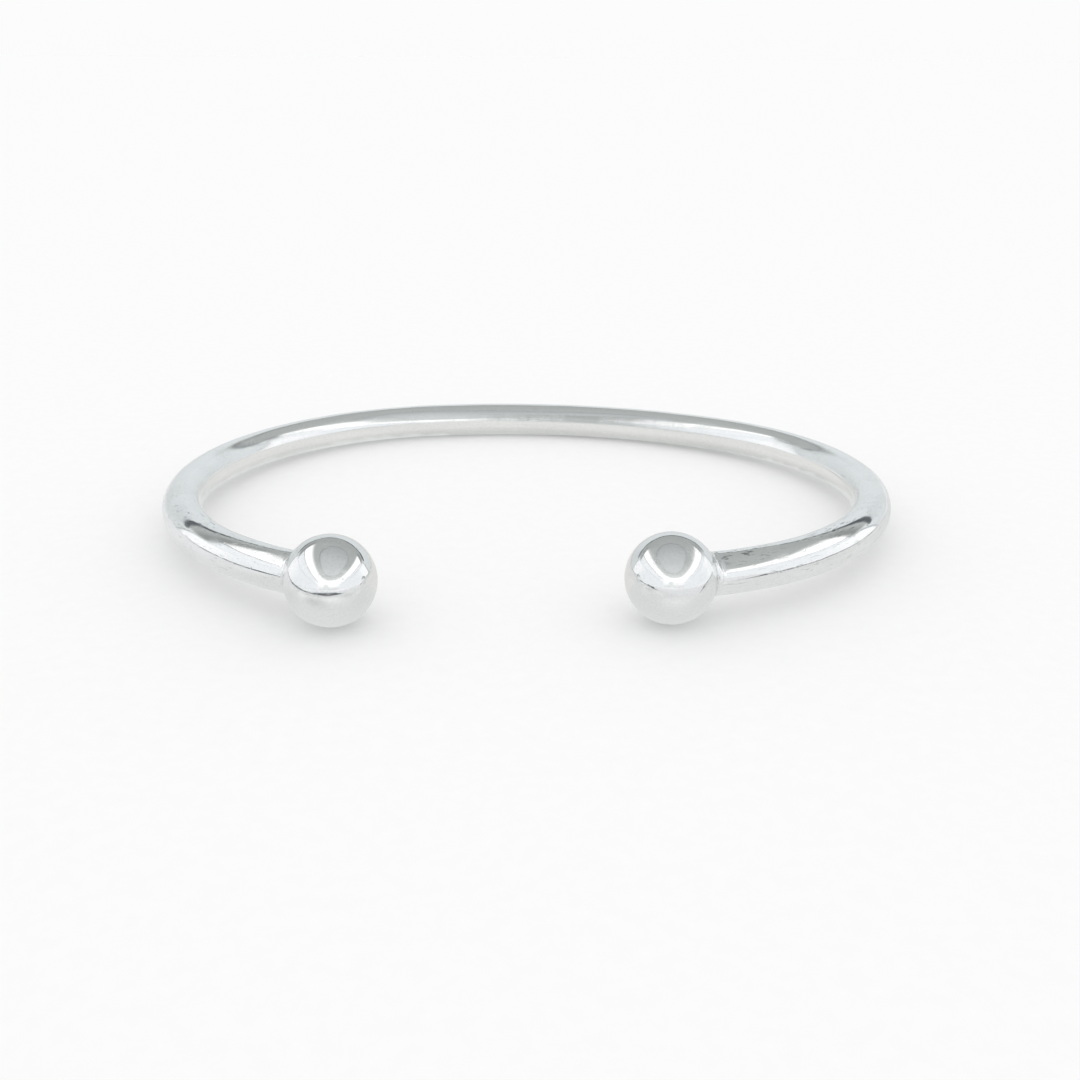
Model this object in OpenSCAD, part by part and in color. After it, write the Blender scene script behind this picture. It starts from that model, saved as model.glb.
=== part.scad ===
// Torque bangle: an open oval hoop of round wire with a ball soldered on each end.
// It lies on its side as on a table at z = 0, on both balls and the back of the wire,
// and opens towards -Y. The origin is on the table, under the middle of its outline.

/* [Wire] */
// Diameter of the round wire
wire_d = 3.5; // [2.5:0.1:5]

/* [Hoop] */
// Inner width from side to side, measured along the middle of the back
inner_width = 60; // [54:0.5:68]
// Bend radius across the back, to the middle of the wire
back_radius = 44; // [38:0.5:60]
// Bend radius round the left side, to the middle of the wire
left_radius = 25.7; // [22:0.1:27]
// Bend radius round the right side, a little tighter because it is bent by hand
right_radius = 23.3; // [21:0.1:27]
// Angle that the left half turns through from the middle of the back to its ball
left_turn = 162; // [150:0.5:168]
// Angle that the right half turns through from the middle of the back to its ball
right_turn = 155; // [145:0.5:164]

/* [Ends] */
// Diameter of the ball on each end
ball_d = 7.2; // [6:0.1:10]
// Radius of the hollow in the collar of solder between wire and ball
collar_radius = 0.8; // [0.3:0.1:1.2]
// Angle at which the collar runs out on the wire and on the ball
collar_edge = 12; // [8:1:20]

/* [Hidden] */
$fn = 96;

wire_r = wire_d / 2;
ball_r = ball_d / 2;

// Two bends stop short of the plane where they meet, with their ends inside a joint that
// stands proud of the wire by less than an eye can see. So they join at any size.
joint_slit = wire_d / 70;
joint_rise = wire_d / 175;

// Half the angle of the back bend, which ends where the two side bends take over
sides = left_radius + right_radius;
back_turn = asin((inner_width + wire_d - sides) / (2 * back_radius - sides));

// The hollow of the solder collar cuts into wire and ball at the angle collar_edge, which
// sets how far its middle lies out from the axis of the wire and behind that of the ball
collar_out = wire_r + collar_radius * cos(collar_edge);
collar_reach = sqrt(ball_r ^ 2 + collar_radius ^ 2
    + 2 * ball_r * collar_radius * cos(collar_edge));
neck = sqrt(collar_reach ^ 2 - collar_out ^ 2);

// Middle of the right bend and of the ball beyond it, seen from the middle of the back
// bend. Those of the left half are mirror images.
function bend_middle(radius) = (back_radius - radius) * [sin(back_turn), cos(back_turn)];
function ball_middle(radius, turn) = bend_middle(radius)
    + radius * [sin(turn), cos(turn)] + neck * [cos(turn), -sin(turn)];
function mirrored(point) = [-point.x, point.y];
function turned(point, angle) = [
    point.x * cos(angle) - point.y * sin(angle),
    point.x * sin(angle) + point.y * cos(angle)
];

// The halves differ, so the hoop is turned until its balls are level across the front
right_ball = ball_middle(right_radius, right_turn);
left_ball = mirrored(ball_middle(left_radius, left_turn));
balls = right_ball - left_ball;
level = -atan2(balls.y, balls.x);
front_y = turned(right_ball, level).y;
right_bend = turned(bend_middle(right_radius), level);
left_bend = turned(mirrored(bend_middle(left_radius)), level);
side_y = max(right_bend.y + right_radius, left_bend.y + left_radius);
back_y = abs(level) < back_turn ? back_radius : side_y;

// The balls are thicker than the wire, so the hoop tips down towards the back
tip = asin((ball_r - wire_r) / (back_y - front_y));
right_x = right_bend.x + right_radius + wire_r;
left_x = left_bend.x - left_radius - wire_r;
outline_depth = ball_r + (back_y - front_y) * cos(tip) + wire_r;

// All the space on one side of the plane y = 0: in front of it for -1, behind it for 1.
// It starts joint_slit away from the plane.
module half_space(sign) {
    size = 4 * back_radius;
    translate([0, sign * (size / 2 + joint_slit), 0]) cube(size, center = true);
}

// The stretch of a ring of wire between two planes through its axis
module bend(radius, start, end) {
    rotate([0, 0, start]) intersection() {
        rotate_extrude() translate([radius, 0]) circle(r = wire_r);
        half_space(1);
        rotate([0, 0, end - start]) half_space(-1);
    }
}

// Fills the slit between two bends, and holds the ends of both
module joint() {
    rotate([90, 0, 0]) sphere(r = wire_r + joint_rise);
}

// The ball and its solder collar, with the wire coming in along +Y at the origin. The
// collar is turned from a wedge between the axis and the middle of its hollow.
module ball_end() {
    translate([0, neck, 0]) rotate([-90, 0, 0]) {
        sphere(r = ball_r);
        rotate_extrude() difference() {
            polygon([[0, 0], [0, -neck], [collar_out, -neck]]);
            translate([collar_out, -neck]) circle(r = collar_radius);
        }
    }
}

// Side bend and ball end of one half. As in hoop, the origin is the middle of the back
// bend, and the wire leaves the back along +Y at angle 0 and turns left. Past the start
// of the collar the bend runs on into the ball.
module side(radius, turn) {
    side_turn = turn - back_turn;
    tuck = asin(neck / 2 / radius);
    rotate([0, 0, back_turn]) {
        translate([back_radius, 0, 0]) joint();
        translate([back_radius - radius, 0, 0]) {
            bend(radius, 0, side_turn + tuck);
            rotate([0, 0, side_turn]) translate([radius, 0, 0]) ball_end();
        }
    }
}

module hoop() {
    bend(back_radius, -back_turn, back_turn);
    side(left_radius, left_turn);
    rotate([180, 0, 0]) side(right_radius, right_turn);
}

module bangle() {
    color("silver")
        translate([-(left_x + right_x) / 2, ball_r - outline_depth / 2, ball_r])
            rotate([-tip, 0, 0])
                translate([0, -front_y, 0])
                    rotate([0, 0, level + 90]) hoop();
}

bangle();
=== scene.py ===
"""Looks of the torque bangle: polished silver wire with a ball soldered on each end.

The hoop is modelled again as one fine skin over the CAD solid, with the small unevenness
of a hand-bent and hand-soldered wire. It lies on a pale floor, in a light tent that only
the silver mirrors. Lengths are in millimetres until they reach Blender.
"""

import math

import bpy
import numpy as np
from mathutils import Matrix, Vector


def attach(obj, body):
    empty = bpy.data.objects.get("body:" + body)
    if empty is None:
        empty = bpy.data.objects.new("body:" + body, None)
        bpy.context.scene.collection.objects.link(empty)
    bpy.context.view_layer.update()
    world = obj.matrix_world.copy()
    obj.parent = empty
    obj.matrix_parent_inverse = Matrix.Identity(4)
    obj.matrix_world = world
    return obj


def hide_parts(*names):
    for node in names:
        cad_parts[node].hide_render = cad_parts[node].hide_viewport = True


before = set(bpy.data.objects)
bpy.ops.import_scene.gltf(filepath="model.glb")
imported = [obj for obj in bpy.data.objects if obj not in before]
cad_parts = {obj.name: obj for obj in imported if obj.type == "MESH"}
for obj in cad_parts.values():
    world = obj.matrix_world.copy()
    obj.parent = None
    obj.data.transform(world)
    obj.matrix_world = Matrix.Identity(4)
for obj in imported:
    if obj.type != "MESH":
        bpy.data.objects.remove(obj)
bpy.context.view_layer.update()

MM = 0.001

# The driving sizes of the CAD model
WIRE_R = 3.5 / 2
BALL_R = 7.2 / 2
INNER_WIDTH = 60
BACK_RADIUS = 44
LEFT_RADIUS = 25.7
RIGHT_RADIUS = 23.3
LEFT_TURN = math.radians(162)
RIGHT_TURN = math.radians(155)
COLLAR_RADIUS = 0.8
COLLAR_EDGE = math.radians(12)


# Helpers for smooth edges


def rise(x, start, end):
    """0 before start, 1 beyond end, and a smooth slope between them."""
    t = np.clip((x - start) / (end - start), 0, 1)
    return t * t * (3 - 2 * t)


def inside(x, low, high, soft):
    """1 between low and high and 0 outside, over edges this soft."""
    return rise(x, low - soft, low + soft) * (1 - rise(x, high - soft, high + soft))


# The camera, found by fitting the CAD model's outline to the photograph's

PICTURE_SIZE = 1080
SENSOR_WIDTH = 36
FOCAL_PIXELS = 1243.59
CAMERA_YAW = math.radians(1.90)
CAMERA_ELEVATION = math.radians(21.80)
CAMERA_ROLL = math.radians(-0.336)
CAMERA_DISTANCE = 118.134
CAMERA_ASIDE = -1.181
CAMERA_ABOVE = 5.422
AIM_HEIGHT = 3
CLIP_METRES = (0.01, 20)


def make_camera():
    sin, cos = math.sin, math.cos
    yaw = Matrix.Rotation(-CAMERA_YAW, 3, "Z")
    ahead = yaw @ Vector((0, cos(CAMERA_ELEVATION), -sin(CAMERA_ELEVATION)))
    level_right = yaw @ Vector((1, 0, 0))
    level_up = level_right.cross(ahead)
    right = level_right * cos(CAMERA_ROLL) - level_up * sin(CAMERA_ROLL)
    up = level_right * sin(CAMERA_ROLL) + level_up * cos(CAMERA_ROLL)
    place = Vector((0, 0, AIM_HEIGHT)) - ahead * CAMERA_DISTANCE
    place -= right * CAMERA_ASIDE + up * CAMERA_ABOVE
    data = bpy.data.cameras.new("camera")
    data.sensor_width = SENSOR_WIDTH
    data.lens = SENSOR_WIDTH * FOCAL_PIXELS / PICTURE_SIZE
    data.clip_start, data.clip_end = CLIP_METRES
    camera = bpy.data.objects.new("camera", data)
    turn = Matrix((right, up, -ahead)).transposed().to_4x4()
    camera.matrix_world = Matrix.Translation(place * MM) @ turn
    bpy.context.scene.collection.objects.link(camera)
    bpy.context.scene.camera = camera


# The middle line of the wire, worked out as in the CAD model

SIDES = LEFT_RADIUS + RIGHT_RADIUS
BACK_TURN = math.asin((INNER_WIDTH + 2 * WIRE_R - SIDES) / (2 * BACK_RADIUS - SIDES))
COLLAR_OUT = WIRE_R + COLLAR_RADIUS * math.cos(COLLAR_EDGE)
COLLAR_REACH = math.sqrt(
    BALL_R**2 + COLLAR_RADIUS**2 + 2 * BALL_R * COLLAR_RADIUS * math.cos(COLLAR_EDGE)
)
NECK = math.sqrt(COLLAR_REACH**2 - COLLAR_OUT**2)

# The solder fillets of the skin: the CAD model's collars are both halfway between them
LEFT_FILLET = 0.7
RIGHT_FILLET = 0.9

# Distance between rings of the skin: on the wire, just before the solder, on it, on a ball
WIRE_STEP = 0.3
NEAR_STEP = 0.12
FILLET_STEP = 0.03
BALL_STEP = 0.096


def plane_turn(points, angle):
    """Points of the plane, turned anticlockwise by an angle."""
    sin, cos = math.sin(angle), math.cos(angle)
    return points @ np.array([[cos, sin], [-sin, cos]])


def heading(angle):
    """The way that lies this far to the right of +Y."""
    return np.array([math.sin(angle), math.cos(angle)])


def steps(start, end, step):
    """Values from start to end, no further apart than step."""
    return np.linspace(start, end, max(2, math.ceil(abs(end - start) / step) + 1))


def bend_end(radius, turn):
    """Where the right side bend ends, and the way along the wire there."""
    middle = (BACK_RADIUS - radius) * heading(BACK_TURN)
    return middle + radius * heading(turn), np.array([math.cos(turn), -math.sin(turn)])


def end_profile(fillet):
    """(way along the end, radius) over the solder fillet and the ball, to the ball's pole."""
    out = WIRE_R + fillet
    reach = math.sqrt((BALL_R + fillet) ** 2 - out**2)
    slope = math.atan2(out, reach)
    profile = [(way, WIRE_R) for way in steps(0, NECK - reach, NEAR_STEP)[:-1]]
    for angle in steps(0, math.pi / 2 - slope, FILLET_STEP / fillet)[:-1]:
        way = NECK - reach + fillet * math.sin(angle)
        profile.append((way, out - fillet * math.cos(angle)))
    for angle in steps(slope, math.pi, BALL_STEP / BALL_R):
        profile.append((NECK - BALL_R * math.cos(angle), BALL_R * math.sin(angle)))
    return profile


def half_line(radius, turn, fillet):
    """Points of the right half from the middle of the back to the far side of its ball,
    seen from above, with the skin's radius and the way along the straight end at each."""
    points = [
        BACK_RADIUS * heading(angle)
        for angle in steps(0, BACK_TURN, WIRE_STEP / BACK_RADIUS)[:-1]
    ]
    for angle in steps(BACK_TURN, turn, WIRE_STEP / radius)[:-1]:
        points.append(bend_end(radius, angle)[0])
    radii = [WIRE_R] * len(points)
    ends = [-1.0] * len(points)
    start, along = bend_end(radius, turn)
    for way, skin in end_profile(fillet):
        points.append(start + along * way)
        radii.append(skin)
        ends.append(way)
    return np.array(points), np.array(radii), np.array(ends)


def ball_middle(radius, turn):
    start, along = bend_end(radius, turn)
    return start + NECK * along


def middle_line():
    """The whole line from the left ball's pole to the right ball's, in the part's frame,
    with the radius and the way along a straight end at each point, and the hoop's axis."""
    right, right_r, right_end = half_line(RIGHT_RADIUS, RIGHT_TURN, RIGHT_FILLET)
    left, left_r, left_end = half_line(LEFT_RADIUS, LEFT_TURN, LEFT_FILLET)
    left = left * [-1, 1]
    flat = np.vstack([left[:0:-1], right])
    radii = np.concatenate([left_r[:0:-1], right_r])
    ends = np.concatenate([left_end[:0:-1], right_end])

    # Level the two balls, and tip the hoop down on to the table behind them
    right_ball = ball_middle(RIGHT_RADIUS, RIGHT_TURN)
    across = right_ball - ball_middle(LEFT_RADIUS, LEFT_TURN) * [-1, 1]
    level = -math.atan2(across[1], across[0])
    flat = plane_turn(flat, level)
    front_y = plane_turn(right_ball, level)[1]
    tip = math.asin((BALL_R - WIRE_R) / (BACK_RADIUS - front_y))
    wire_x = flat[ends < 0, 0]
    shift_x = -(wire_x.min() + wire_x.max()) / 2
    depth = BALL_R + (BACK_RADIUS - front_y) * math.cos(tip) + WIRE_R
    back = flat[:, 1] - front_y
    line = np.column_stack(
        [
            flat[:, 0] + shift_x,
            back * math.cos(tip) + BALL_R - depth / 2,
            BALL_R - back * math.sin(tip),
        ]
    )
    return line, radii, ends, np.array([0, math.sin(tip), math.cos(tip)])


# The skin

AROUND = 96

# The skin lies this far inside the solid, and its unevenness goes further inwards
SKIN_DEPTH = 0.009
WIRE_DEPTH = 0.01
SOLDER_DEPTH = 0.05
# (depth in mm, wavelength along the wire in mm, turns round it per wavelength, start)
WIRE_WAVES = ((0.0050, 8.3, 1, 0.4), (0.0030, 5.1, 2, 2.1), (0.0018, 3.4, -1, 4.0))
SOLDER_WAVES = ((0.50, 0.83, 3, 0.0), (0.32, 0.47, 7, 1.3), (0.18, 0.61, -11, 2.6))

# The tops of the two arms are planished flatter than a round wire, and the inside of the
# two back quarters is steeper. This only leans the normals, so far upwards and downwards.
ARM_LENGTH = 34
ARM_FADE = 12
PLANISHED = 0.27
STEEPENED = 0.24


def waves(table, along, around):
    """A sum of waves that run along the wire and wind round it."""
    return sum(
        depth * np.sin(2 * math.pi * along / length + turns * around + start)
        for depth, length, turns, start in table
    )


def tube_faces(rings):
    """Faces of a tube whose points are its rings in turn and then its first and last tip."""
    faces = []
    for ring in range(rings - 1):
        for k in range(AROUND):
            a, b = ring * AROUND + k, ring * AROUND + (k + 1) % AROUND
            faces.append((a, b, b + AROUND, a + AROUND))
    first, last = rings * AROUND, rings * AROUND + 1
    end = (rings - 1) * AROUND
    for k in range(AROUND):
        after = (k + 1) % AROUND
        faces.append((first, after, k))
        faces.append((last, end + k, end + after))
    return faces


def make_skin():
    line, radii, ends, upright = middle_line()
    run = np.gradient(line, axis=0)
    run /= np.linalg.norm(run, axis=1)[:, None]
    inwards = np.cross(run, upright)
    way = np.concatenate([[0], np.cumsum(np.linalg.norm(np.diff(line, axis=0), axis=1))])
    around, along = np.meshgrid(
        np.linspace(0, 2 * math.pi, AROUND, endpoint=False), way[1:-1]
    )
    ball_start = NECK - BALL_R
    on_ball = rise(ends, ball_start, ball_start + 0.5)[1:-1, None]
    solder = inside(ends, 0.15, ball_start + 0.55, 0.2)[1:-1, None]
    depth = SKIN_DEPTH + (WIRE_DEPTH + waves(WIRE_WAVES, along, around)) * (1 - on_ball)
    lumps = 0.5 + 0.5 * waves(SOLDER_WAVES, along, around)
    depth += SOLDER_DEPTH * lumps * solder
    skin_r = radii[1:-1, None] - depth
    facing = (
        np.cos(around)[..., None] * inwards[1:-1, None]
        + np.sin(around)[..., None] * upright
    )
    co = line[1:-1, None] + skin_r[..., None] * facing
    poles = [line[0] + run[0] * SKIN_DEPTH, line[-1] - run[-1] * SKIN_DEPTH]
    co = np.vstack([co.reshape(-1, 3), poles])
    mesh = bpy.data.meshes.new("silver_hoop")
    mesh.from_pydata((co * MM).tolist(), [], tube_faces(len(line) - 2))
    mesh.shade_smooth()

    def keep(name, values, at_tips):
        """Keeps a value for each point, for the material."""
        layer = mesh.attributes.new(name, "FLOAT", "POINT")
        each = np.broadcast_to(values, around.shape)
        layer.data.foreach_set("value", np.append(each, [at_tips, at_tips]))

    to_ball = np.minimum(along, way[-1] - along)
    arm = 1 - rise(to_ball, ARM_LENGTH - ARM_FADE, ARM_LENGTH)
    keep("arm", arm, 1)
    keep("solder", solder, 0)
    keep("ball", on_ball, 1)

    # The planishing left more marks at the right joint and near the end of either arm
    height = facing[..., 2]
    marked = (1 - rise(way[-1] - along, 9.5, 12.5)) + 0.6 * inside(to_ball, 17, 23, 2)
    keep("marked", marked * rise(height, 0.5, 0.8), 0)

    lean = PLANISHED * arm * rise(height, 0.35, 0.8)
    quarters = (1 - arm) * (1 - inside(line[1:-1, :1], -9, 9, 8))
    on_inside = rise(height, 0.35, 0.68) * rise(np.cos(around), -0.1, 0.3)
    lean -= STEEPENED * quarters * on_inside
    keep("lean", lean * (1 - on_ball), 0)

    # Place on the wire, in mm along it and across its section
    section = np.stack([along, np.cos(around) * WIRE_R, np.sin(around) * WIRE_R], -1)
    tips = [[0, 0, 0], [way[-1], 0, 0]]
    layer = mesh.attributes.new("wire_place", "FLOAT_VECTOR", "POINT")
    layer.data.foreach_set("vector", np.vstack([section.reshape(-1, 3), tips]).ravel())

    skin = bpy.data.objects.new("silver_hoop", mesh)
    bpy.context.scene.collection.objects.link(skin)
    return skin


# Materials


def node_material(name):
    material = bpy.data.materials.new(name)
    material.use_nodes = True
    tree = material.node_tree
    tree.nodes.clear()
    output = tree.nodes.new("ShaderNodeOutputMaterial")
    return material, tree, output


class Nodes:
    """Short ways to add the nodes of one material and link them."""

    def __init__(self, tree):
        self.tree = tree

    def add(self, kind, values=(), **settings):
        node = self.tree.nodes.new("ShaderNode" + kind)
        for name, setting in settings.items():
            setattr(node, name, setting)
        for socket, value in dict(values).items():
            if isinstance(value, bpy.types.NodeSocket):
                self.tree.links.new(value, node.inputs[socket])
            else:
                node.inputs[socket].default_value = value
        return node.outputs[0]

    def math(self, operation, a, b=0.0, c=0.0):
        return self.add("Math", {0: a, 1: b, 2: c}, operation=operation)

    def product(self, first, *others):
        for other in others:
            first = self.math("MULTIPLY", first, other)
        return first

    def plus(self, value, *changes):
        """The value with each (amount, by how much) added to it."""
        for amount, much in changes:
            value = self.math("MULTIPLY_ADD", amount, much, value)
        return value

    def scaled(self, place, scale, turn=(0, 0, 0)):
        return self.add("Mapping", {"Vector": place, "Scale": scale, "Rotation": turn})

    def millimetres(self, geometry):
        return self.scaled(geometry.outputs["Position"], (1 / MM, 1 / MM, 1 / MM))

    def kept(self, name, output="Fac"):
        """A value kept on the points of the mesh."""
        node = self.tree.nodes.new("ShaderNodeAttribute")
        node.attribute_name = name
        return node.outputs[output]

    def noise(self, place, scale, detail=2.0, roughness=0.5):
        return self.add(
            "TexNoise",
            {"Vector": place, "Scale": scale, "Detail": detail, "Roughness": roughness},
        )

    def ramp(self, value, low, high, to_low=0.0, to_high=1.0):
        return self.add(
            "MapRange", {0: value, 1: low, 2: high, 3: to_low, 4: to_high}, clamp=True
        )


DULL_SILVER = (0.74, 0.76, 0.76, 1)
BRIGHT_SILVER = (1.0, 1.0, 1.0, 1)
MARK_GREY = (0.25, 0.26, 0.27, 1)


def silver():
    material, tree, output = node_material("polished_silver")
    make = Nodes(tree)
    geometry = tree.nodes.new("ShaderNodeNewGeometry")
    place = make.millimetres(geometry)
    wire = make.kept("wire_place", "Vector")
    solder, ball, arm, marked = map(make.kept, ("solder", "ball", "arm", "marked"))
    on_wire = make.math("SUBTRACT", 1.0, ball)
    off_arm = make.math("SUBTRACT", 1.0, arm)

    upwards = make.add("CombineXYZ", {"Z": make.kept("lean")})
    leaning = {0: geometry.outputs["Normal"], 1: upwards}
    facing = make.add("VectorMath", leaning, operation="ADD")
    facing = make.add("VectorMath", {0: facing}, operation="NORMALIZE")

    # Drawn wire: faint streaks along it. Polish: a fine grain, and hairline scratches.
    streaks = make.noise(make.scaled(wire, (0.12, 5.0, 5.0)), 1.0, 3.0, 0.6)
    streaks = make.product(streaks, on_wire)
    grain = make.noise(place, 2.4, 3.0, 0.6)
    swell = make.noise(place, 0.55, 1.0)

    def hairlines(turn):
        lines = make.noise(make.scaled(place, (0.35, 9.0, 9.0), turn), 1.0, 1.0)
        off_line = make.math("ABSOLUTE", make.math("SUBTRACT", lines, 0.5))
        return make.ramp(off_line, 0.0, 0.012, 1.0, 0.0)

    scratches = make.math("MAXIMUM", hairlines((0.3, 0.5, 0.9)), hairlines((1.1, 0.2, 2.3)))
    scratched = make.ramp(make.noise(place, 0.35, 2.0), 0.44, 0.6)
    scratches = make.product(scratches, scratched)

    # Tiny casting pits, most of them about the solder
    cells = make.add("TexVoronoi", {"Vector": place, "Scale": 1.1})
    pits = make.ramp(cells, 0.05, 0.13, 1.0, 0.0)
    rare = make.ramp(make.noise(place, 0.8, 2.0), 0.56, 0.62)
    pits = make.product(pits, make.math("MAXIMUM", rare, solder))

    # Short marks along the two arms, left by the planishing, and dark in some places
    marks = make.noise(make.scaled(wire, (0.9, 4.5, 4.5)), 1.0, 3.0)
    marks = make.ramp(make.plus(marks, (marked, 0.02)), 0.62, 0.67)
    marks = make.product(marks, arm, on_wire)
    dark_marks = make.product(marks, marked, 0.75)

    bump = facing
    lumps = make.product(make.noise(place, 3.4, 2.0), solder)
    for height, depth in (
        (streaks, 0.0016),
        (grain, 0.0010),
        (swell, 0.0060),
        (scratches, -0.0020),
        (marks, -0.0030),
        (pits, -0.010),
        (lumps, 0.05),
    ):
        bump = make.add("Bump", {"Distance": depth * MM, "Height": height, "Normal": bump})

    # The back and the sides have a softer polish than the arms and balls
    rough = make.math("MULTIPLY_ADD", grain, 0.05, 0.045)
    rough = make.plus(rough, (scratches, 0.06), (solder, 0.03), (off_arm, 0.08))
    shade = make.math("MULTIPLY_ADD", make.noise(place, 4.5, 3.0, 0.7), 0.6, -0.15)
    shade = make.plus(
        shade, (streaks, 0.25), (scratches, -0.35), (marks, -0.50), (pits, -0.45)
    )
    bright = make.math("ADD", shade, 0.5)
    colour = make.add("MixRGB", {0: bright, 1: DULL_SILVER, 2: BRIGHT_SILVER})
    colour = make.add("MixRGB", {0: dark_marks, 1: colour, 2: MARK_GREY})
    shader = tree.nodes.new("ShaderNodeBsdfPrincipled")
    shader.inputs["Metallic"].default_value = 1
    tree.links.new(colour, shader.inputs["Base Color"])
    tree.links.new(rough, shader.inputs["Roughness"])
    tree.links.new(bump, shader.inputs["Normal"])
    tree.links.new(shader.outputs[0], output.inputs["Surface"])
    return material


def glow(name, one_sided):
    """Gives off the light painted on the mesh as its colour attribute."""
    material, tree, output = node_material(name)
    paint = tree.nodes.new("ShaderNodeVertexColor")
    paint.layer_name = "tone"
    shader = tree.nodes.new("ShaderNodeEmission")
    tree.links.new(paint.outputs["Color"], shader.inputs["Color"])
    surface = shader.outputs[0]
    if one_sided:
        geometry = tree.nodes.new("ShaderNodeNewGeometry")
        clear = tree.nodes.new("ShaderNodeBsdfTransparent")
        mix = tree.nodes.new("ShaderNodeMixShader")
        tree.links.new(geometry.outputs["Backfacing"], mix.inputs[0])
        tree.links.new(surface, mix.inputs[1])
        tree.links.new(clear.outputs[0], mix.inputs[2])
        surface = mix.outputs[0]
    tree.links.new(surface, output.inputs["Surface"])
    material.cycles.emission_sampling = "NONE"
    return material


# The light tent that the silver mirrors, placed by where both balls show it

ROOF_HEIGHT = 80
TENT_LEFT, TENT_RIGHT = -160, 175
TENT_FRONT, TENT_BACK = -330, 104
SIDE_BACK = 84
PATCH_LEFT, PATCH_RIGHT, PATCH_Y, PATCH_AHEAD = -63, 88, -30, 172
STRIP_LEFT, STRIP_RIGHT, STRIP_BACK = -100, 143, 46
STRIP_LINE = 1.9
DISC_X, DISC_Y, DISC_R, DISC_AHEAD = 6, -34, 47, 108
BACKDROP_DISTANCE = 500
BACKDROP_HEIGHT = 560

PALE = np.array([0.93, 0.955, 0.975])
WHITE = np.array([1.25, 1.25, 1.25])
GREY = np.array([0.95, 1.0, 0.985])
GLASS = np.array([0.96, 0.99, 1.0])
DARK = np.array([0.10, 0.11, 0.12])
LINE_DARK = np.array([0.24, 0.25, 0.27])
RIM_DARK = np.array([0.22, 0.23, 0.24])


def blend(base, tone, amount):
    """The base tones, moved towards another by an amount from 0 to 1 at each point."""
    return base + (np.asarray(tone) - base) * np.asarray(amount)[..., None]


def even(tone, like):
    """The same tone for each point of a grid."""
    return np.broadcast_to(np.asarray(tone, float), like.shape + (3,)).copy()


def painted_sheet(name, us, vs, place, tone, one_sided=False):
    """A sheet over the grid us, vs that only mirrors see, with a tone at each point."""
    u, v = np.meshgrid(us, vs, indexing="ij")
    co = np.stack([np.broadcast_to(c, u.shape) for c in place(u, v)], -1).reshape(-1, 3)
    colour = tone(u, v).reshape(-1, 3)
    ny = len(vs)
    corner = (np.arange(len(us) - 1)[:, None] * ny + np.arange(ny - 1)[None]).ravel()
    faces = np.column_stack([corner, corner + ny, corner + ny + 1, corner + 1])
    mesh = bpy.data.meshes.new(name)
    mesh.from_pydata((co * MM).tolist(), [], faces.tolist())
    paint = mesh.color_attributes.new("tone", "FLOAT_COLOR", "POINT")
    paint.data.foreach_set("color", np.column_stack([colour, np.ones(len(colour))]).ravel())
    mesh.materials.append(glow(name, one_sided))
    sheet = bpy.data.objects.new(name, mesh)
    bpy.context.scene.collection.objects.link(sheet)
    for rays in ("camera", "diffuse", "transmission", "volume_scatter", "shadow"):
        setattr(sheet, "visible_" + rays, False)


def grid(low, high, step, edges=(), reach=8):
    """Grid lines a step apart, and closer together about each edge."""
    near = [edge + offset for edge in edges for offset in np.linspace(-reach, reach, 33)]
    lines = np.concatenate([np.arange(low, high, step), near, [high]])
    return np.unique(np.clip(lines, low, high))


def oval(across, along, power):
    """1 on the edge of an oval that is squarer for a higher power, 0 in its middle."""
    return (np.abs(across) ** power + np.abs(along) ** power) ** (1 / power)


def roof_tone(x, y):
    # White between two lines, which reach forwards from the back, and pale beyond them
    outwards = np.maximum(STRIP_LEFT - x, x - STRIP_RIGHT)
    tone = blend(even(PALE, x), PALE * 0.93, 1 - rise(outwards, 0, 22))
    tone = blend(tone, WHITE * 0.9, rise(-y, 190, 320))
    tone = blend(tone, WHITE, inside(x, STRIP_LEFT, STRIP_RIGHT, 0.7))
    for line in (STRIP_LEFT, STRIP_RIGHT):
        on_line = inside(x, line - STRIP_LINE, line + STRIP_LINE, 0.8)
        tone = blend(tone, LINE_DARK, on_line * (1 - rise(-y, 210, 320)))
    # The roof is dark behind the ends of the white strips
    shade = 0.39 - 0.08 * rise(np.abs(x), 30, 70) + 0.20 * rise(y, 62, 100)
    shade += 0.3 * (1 - inside(x, -146, 152, 8))
    behind = rise(y, STRIP_BACK - 9, STRIP_BACK + 9)
    tone = blend(tone, GREY * shade[..., None], behind)
    # A grey patch runs forwards between the strips, with rounded corners
    across = (2 * x - PATCH_LEFT - PATCH_RIGHT) / (PATCH_RIGHT - PATCH_LEFT)
    ahead = np.minimum(y - PATCH_Y, 0) / PATCH_AHEAD
    patch = 1 - rise(oval(across, ahead, 2.6), 0.88, 1.1)
    shade = 0.43 + 0.06 * rise(-y, -70, 30)
    shade += 0.12 * rise(-y, 45, 95) + 0.05 * rise(-y, 95, 180)
    tone = blend(tone, GREY * shade[..., None], patch)
    # and on it lies a round disc, stretched towards the front
    reach = np.where(y > DISC_Y, DISC_R, DISC_AHEAD)
    power = np.where(y > DISC_Y, 2.0, 2.6)
    disc = oval((x - DISC_X) / DISC_R, (y - DISC_Y) / reach, power)
    shade = 0.46 + 0.15 * rise(-y, -10, 60) + 0.10 * rise(-y, 50, 110)
    shade += 0.006 * np.cos(disc * 18)
    tone = blend(tone, GLASS * shade[..., None], (1 - rise(disc, 0.94, 1.0)) * patch)
    rim = inside(disc, 0.94, 1.0, 0.02) * patch * (0.35 + 0.5 * rise(y, -60, 0))
    return blend(tone, RIM_DARK, rim)


VALANCE_DROP = 10
VALANCE_DROP_ASIDE = 6


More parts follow.
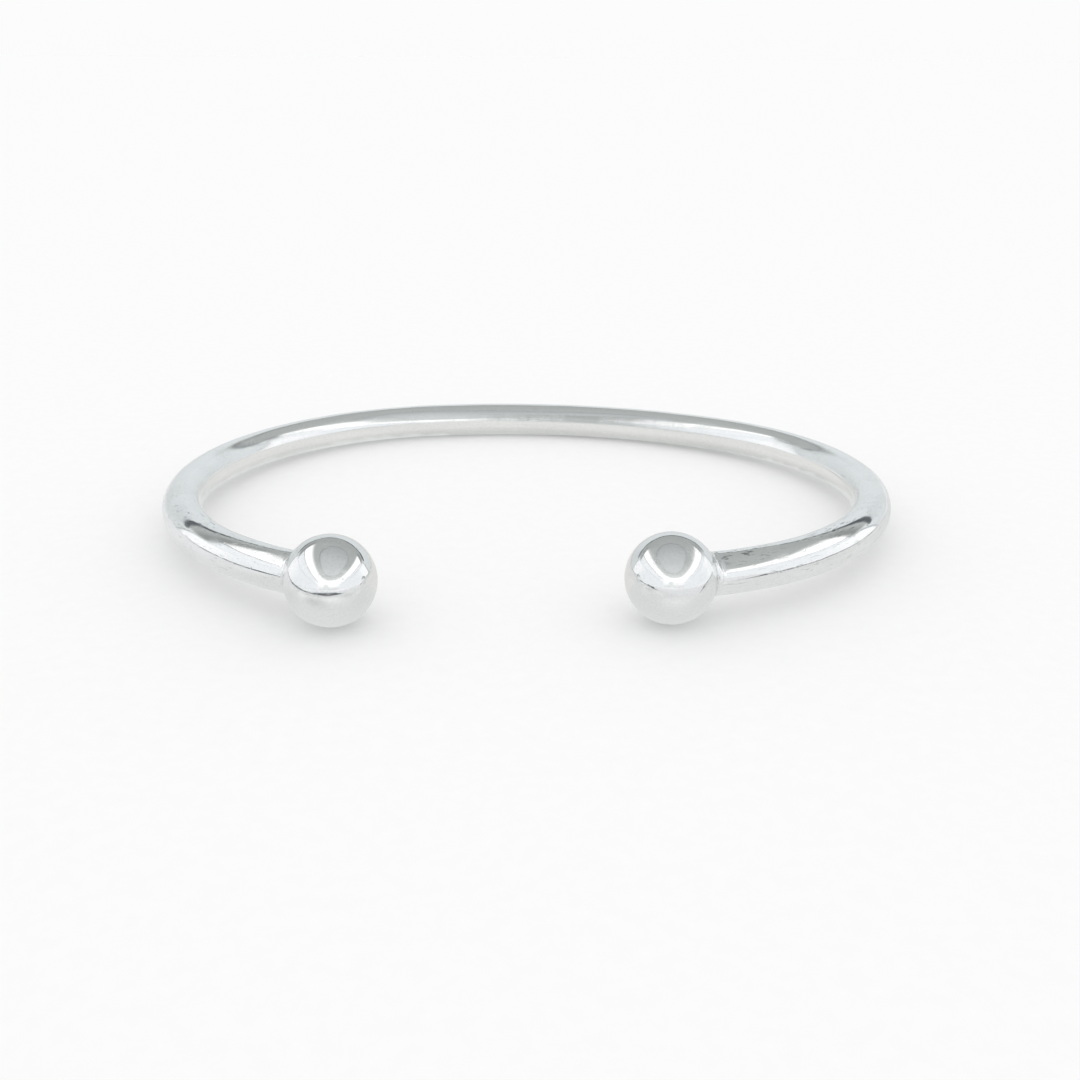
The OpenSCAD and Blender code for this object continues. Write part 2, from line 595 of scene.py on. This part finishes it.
def make_roof():
    edges = (STRIP_LEFT, STRIP_RIGHT, PATCH_LEFT, PATCH_RIGHT)
    xs = grid(TENT_LEFT, TENT_RIGHT, 2, edges)
    ys = grid(TENT_FRONT, TENT_BACK, 2, (STRIP_BACK,))
    painted_sheet("roof", xs, ys, lambda x, y: (x, y, ROOF_HEIGHT), roof_tone)

    # Its back edge hangs down a little, further and darker at the sides
    def valance_tone(x, t):
        return blend(even(0.16 * GREY, x), DARK, inside(np.abs(x), 62, 158, 12))

    def valance_place(x, t):
        drop = VALANCE_DROP + VALANCE_DROP_ASIDE * inside(np.abs(x), 88, 160, 12)
        return x, TENT_BACK, ROOF_HEIGHT - drop * t

    xs = grid(TENT_LEFT, TENT_RIGHT, 5)
    painted_sheet("valance", xs, np.linspace(0, 1, 3), valance_place, valance_tone)


def make_walls():
    def side_tone(y, z):
        tone = blend(even([1.04, 1.05, 1.06], y), [0.90, 0.925, 0.95], rise(-y, -30, 60))
        tone = blend(tone, [0.60, 0.62, 0.66], rise(z, ROOF_HEIGHT - 5, ROOF_HEIGHT - 2))
        return blend(tone, DARK * 2.2, rise(y, SIDE_BACK - 9, SIDE_BACK - 3))

    def front_tone(x, z):
        out = np.abs(x - DISC_X)
        tone = blend(even([0.78, 0.79, 0.80], x), WHITE, rise(z, 5, 75))
        tone = blend(tone, PALE, rise(out, 90, 170))
        return blend(tone, 0.86 * GREY, inside(x, -60, -5, 15))

    zs = grid(0, ROOF_HEIGHT, 4)
    ys = grid(TENT_FRONT, SIDE_BACK, 6, (SIDE_BACK,))
    painted_sheet("left_wall", ys, zs, lambda y, z: (TENT_LEFT, y, z), side_tone)
    painted_sheet("right_wall", ys, zs, lambda y, z: (TENT_RIGHT, y, z), side_tone)
    xs = grid(TENT_LEFT, TENT_RIGHT, 4)
    painted_sheet("front_wall", xs, zs, lambda x, z: (x, TENT_FRONT, z), front_tone)

    # The light room behind the tent, a little greyer to the left and high up
    def backdrop_tone(angle, z):
        slope = z / BACKDROP_DISTANCE
        aside = np.degrees(angle)
        tone = blend(even([0.70, 0.73, 0.745], z), [0.74, 0.78, 0.79], rise(slope, 0.0, 0.3))
        tone = tone * (1 - 0.06 * rise(-aside, 5, 40))[..., None]
        ahead = 1 - rise(np.abs(aside), 12, 30)
        return blend(tone, 0.58 * GREY, rise(slope, 0.50, 0.66) * ahead)

    def backdrop_place(angle, z):
        return BACKDROP_DISTANCE * np.sin(angle), BACKDROP_DISTANCE * np.cos(angle), z

    angles = np.radians(np.linspace(-100, 100, 61))
    zs = grid(0, BACKDROP_HEIGHT, 10)
    painted_sheet("mirrored_backdrop", angles, zs, backdrop_place, backdrop_tone)


# A grey card in the hollow, which only the middle of the back mirrors

CARD_LEFT, CARD_RIGHT, CARD_Y, CARD_BOTTOM, CARD_TOP = -10.5, -2.5, -9, 3.5, 46


def make_card():
    def place(across, z):
        return -across * (1 + 0.5 * rise(z, 20, 36)), CARD_Y, z

    def tone(across, z):
        return blend(even(0.48 * GREY, z), 0.42 * GREY, rise(z, 10, 30))

    across = np.linspace(-CARD_RIGHT, -CARD_LEFT, 5)
    zs = np.linspace(CARD_BOTTOM, CARD_TOP, 15)
    painted_sheet("grey_card", across, zs, place, tone, one_sided=True)


# The mirrored table has a low dark step round the bangle, lost in front of the right ball

TABLE_HEIGHT = 0.02
STEP_FRONT, STEP_FRONT_RIGHT = -43, -31
STEP_LEFT_X, STEP_LEFT_Y, STEP_LEFT_SLANT = -46, -33, math.radians(38.5)
STEP_RIGHT_X, STEP_RIGHT_Y, STEP_RIGHT_R = 25, 20, 51


def beyond_step(x, y):
    """How far outside the step a point of the table lies."""
    front = STEP_FRONT + (STEP_FRONT_RIGHT - STEP_FRONT) * rise(x, 0, 22) - y
    left = (STEP_LEFT_X - x) * math.sin(STEP_LEFT_SLANT)
    left += (STEP_LEFT_Y - y) * math.cos(STEP_LEFT_SLANT)
    right = np.hypot(np.maximum(x - STEP_RIGHT_X, 0), np.minimum(y - STEP_RIGHT_Y, 0))
    right = np.where(x > STEP_RIGHT_X, right - STEP_RIGHT_R, -STEP_RIGHT_R)
    return np.maximum(np.maximum(front, left), right)


def lost_step(x, y):
    return inside(x, -5, 24, 5) * (1 - rise(y, -20, 0))


def mottle(x, y, size):
    """Soft patches about size across, between -1 and 1."""
    spots = ((1.0, 0.35, 0), (-0.55, 0.9, 2.0), (0.7, -0.8, 4.1), (0.2, 1.15, 5.3))
    return sum(np.sin((x * fx + y * fy) * 3 / size + turn) for fx, fy, turn in spots) / 4


def make_table(line):
    near_line = line[::6, :2]

    def table_tone(x, y):
        points = np.stack([x, y], -1)
        wire = np.min(
            [np.hypot(*np.moveaxis(points - place, -1, 0)) for place in near_line], axis=0
        )
        hollow = (np.hypot(x / 30, (y - 2) / 24) < 1).astype(float)
        tone = even([0.74, 0.755, 0.745], x)
        tone = blend(tone, [0.78, 0.78, 0.76], hollow)
        # Painted shadow: inside the hoop the mirrored table is darker close to the wire,
        # standing in for the contact shade under it
        tone = blend(tone, [0.60, 0.61, 0.60], hollow * (1 - rise(wire, 0.8, 3.2)))
        beside = inside(x, -70, -34, 8) * inside(y, -34, 34, 8)
        tone = blend(tone, [0.82, 0.83, 0.84], beside)
        ahead = inside(y, -39, -30, 3)
        patches = 0.04 * mottle(x, y, 7) + ahead * (0.05 + 0.22 * mottle(x + 3, y, 6))
        tone = tone * (1 + patches)[..., None]
        near_front = inside(x, -38, 50, 12) * (1 - rise(-y, 48, 110))
        outside = blend(even([0.98, 0.99, 1.01], x), [0.80, 0.81, 0.82], near_front)
        soft = 0.4 + 9 * lost_step(x, y)
        return blend(tone, outside, rise(beyond_step(x, y), -soft, soft))

    fine = np.arange(-70, 70, 1.0)
    xs = np.unique(np.concatenate([grid(-420, 420, 8), fine]))
    ys = np.unique(np.concatenate([grid(-700, 420, 8), fine]))
    painted_sheet("table", xs, ys, lambda x, y: (x, y, TABLE_HEIGHT), table_tone)

    # The step, found outwards from the middle of the bangle along each heading
    def step_reach(turn):
        near, far = 0, 600
        for _ in range(30):
            reach = (near + far) / 2
            out = beyond_step(reach * math.sin(turn), reach * math.cos(turn)) > 0
            near, far = (near, reach) if out else (reach, far)
        return near

    turns = np.radians(np.linspace(-310, -45, 400) + 360)
    reaches = np.array([step_reach(turn) for turn in turns])

    def step_place(turn, t):
        reach = np.interp(turn, turns, reaches)
        x, y = reach * np.sin(turn), reach * np.cos(turn)
        height = 1.2 + 0.9 * (inside(x, -26, -8, 3) + 1 - rise(x, -44, -36))
        height -= 0.1 * rise(x, 28, 50)
        height *= (1 - lost_step(x, y)) * (1 - rise(y, 25, 45) * (x > 0))
        return x, y, TABLE_HEIGHT + t * height

    def step_tone(turn, t):
        return even(DARK, turn)

    painted_sheet("step", turns, np.array([0.0, 1.0]), step_place, step_tone)


# The sky is a little lighter overhead, by just so much that the floor, which gives back
# FLOOR_WHITE of it, looks as light as the sky at the horizon

FLOOR_RADIUS = 4000
FLOOR_SIDES = 64
FLOOR_WHITE = 0.93
FLOOR_MOTTLE = 0.008
SKY_LEVEL = 0.97
SKY_GAIN = 1.5 * SKY_LEVEL * (1 / FLOOR_WHITE - 1)


def make_floor():
    """A pale floor that reaches to the horizon."""
    material, tree, output = node_material("pale_floor")
    make = Nodes(tree)
    geometry = tree.nodes.new("ShaderNodeNewGeometry")
    fibres = make.noise(make.millimetres(geometry), 0.8, 4.0, 0.6)
    low, high = FLOOR_WHITE - FLOOR_MOTTLE, FLOOR_WHITE + FLOOR_MOTTLE
    white = make.ramp(fibres, 0.3, 0.7, low, high)
    shader = tree.nodes.new("ShaderNodeBsdfDiffuse")
    colour = make.add("CombineXYZ", {0: white, 1: white, 2: white})
    tree.links.new(colour, shader.inputs["Color"])
    tree.links.new(shader.outputs[0], output.inputs["Surface"])
    angles = np.linspace(0, 2 * math.pi, FLOOR_SIDES, endpoint=False)
    reach = FLOOR_RADIUS * MM
    co = [(math.cos(a) * reach, math.sin(a) * reach, 0) for a in angles]
    mesh = bpy.data.meshes.new("floor")
    mesh.from_pydata(co, [], [tuple(range(FLOOR_SIDES))])
    mesh.materials.append(material)
    floor = bpy.data.objects.new("floor", mesh)
    bpy.context.scene.collection.objects.link(floor)


def make_world():
    world = bpy.data.worlds.new("studio")
    world.use_nodes = True
    nodes, links = world.node_tree.nodes, world.node_tree.links
    background = nodes["Background"]
    background.inputs["Color"].default_value = (1, 1, 1, 1)
    make = Nodes(world.node_tree)
    parts = nodes.new("ShaderNodeSeparateXYZ")
    links.new(make.add("TexCoord"), parts.inputs[0])
    strength = make.math("MULTIPLY_ADD", parts.outputs["Z"], SKY_GAIN, SKY_LEVEL)
    links.new(strength, background.inputs["Strength"])
    bpy.context.scene.world = world


make_camera()
make_world()
make_floor()
make_roof()
make_walls()
make_card()
make_table(middle_line()[0])
skin = make_skin()
skin.data.materials.append(silver())
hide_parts("bangle")
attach(skin, "root")

bpy.context.scene.view_settings.view_transform = "Standard"

bpy.context.view_layer.update()
